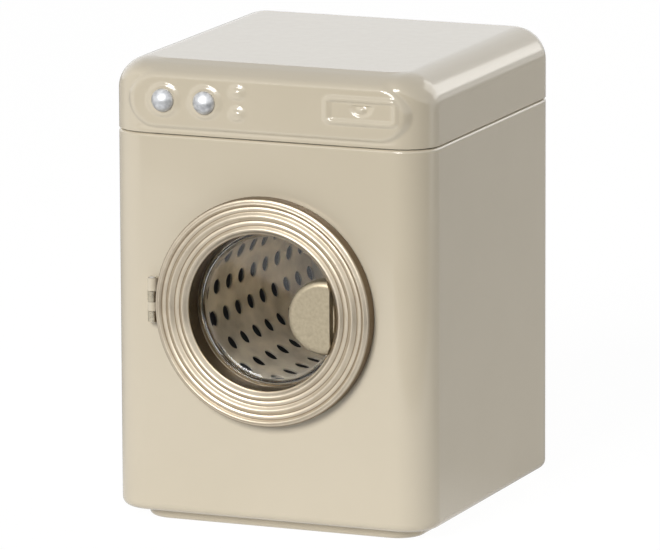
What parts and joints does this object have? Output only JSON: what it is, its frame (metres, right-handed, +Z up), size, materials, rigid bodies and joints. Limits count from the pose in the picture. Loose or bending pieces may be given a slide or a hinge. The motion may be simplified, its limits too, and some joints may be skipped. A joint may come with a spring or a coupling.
{
  "type": "toy washing machine",
  "caption": "Doll's-house front-loading washing machine in painted tin, with a hinged porthole door, a turning perforated drum, two knobs and a lift-off lid.",
  "frame": {"origin": "middle of the plinth's flat underside", "axes": "+Z up, the door looks along -Y, +X to the right of someone facing the door"},
  "size_m": [0.08, 0.088, 0.11],
  "materials": {
    "enamel": "glossy cream enamel on tinplate",
    "gold_plastic": "satin champagne-gold lacquer on moulded plastic",
    "clear_plastic": "clear polished moulded plastic",
    "knob_metal": "bright nickel, faintly hammered",
    "drum_steel": "dull brushed steel",
    "tinned_sheet": "bare tinned sheet",
    "bright_steel": "bright plated steel",
    "nylon": "natural nylon"
  },
  "bodies": {
    "cabinet": {"cabinet": "enamel", "plinth": "enamel", "collar": "tinned_sheet", "hinge_leaf_cabinet": "enamel", "hinge_pin": "bright_steel", "hinge_rivets_cabinet": "bright_steel", "drum_bracket": "tinned_sheet", "bracket_rivets": "bright_steel", "axle_bush": "nylon"},
    "lid": {"lid": "enamel"},
    "knob_left": {"knob_left": "knob_metal", "knob_clip_left": "tinned_sheet"},
    "knob_right": {"knob_right": "knob_metal", "knob_clip_right": "tinned_sheet"},
    "door": {"door_ring": "gold_plastic", "door_window": "clear_plastic", "window_retainer": "gold_plastic", "door_handle": "gold_plastic", "door_backing": "tinned_sheet", "door_screws": "bright_steel", "door_magnet": "bright_steel", "hinge_leaf_door": "tinned_sheet", "hinge_rivets_door": "bright_steel"},
    "drum": {"drum_wall": "drum_steel", "drum_hoop": "drum_steel", "drum_back": "drum_steel", "drum_hub": "drum_steel", "hub_rivets": "bright_steel", "drum_axle": "bright_steel", "axle_spacer": "bright_steel", "axle_clip": "tinned_sheet"}
  },
  "joints": [
    {"name": "lid_lift", "type": "slide", "parent": "cabinet", "child": "lid", "axis": [0, 0, 1], "range_m": [0, 0.03]},
    {"name": "knob_left_turn", "type": "hinge", "parent": "lid", "child": "knob_left", "pos_m": [-0.0254, -0.0425, 0.1012], "axis": [0, -1, 0], "continuous": true},
    {"name": "knob_right_turn", "type": "hinge", "parent": "lid", "child": "knob_right", "pos_m": [-0.015, -0.0425, 0.1012], "axis": [0, -1, 0], "continuous": true},
    {"name": "door_hinge", "type": "hinge", "parent": "cabinet", "child": "door", "pos_m": [-0.0282, -0.0432, 0.053], "axis": [0, 0, -1], "range_deg": [0, 110]},
    {"name": "drum_spin", "type": "hinge", "parent": "cabinet", "child": "drum", "pos_m": [0, 0, 0.053], "axis": [0, 1, 0], "continuous": true}
  ]
}
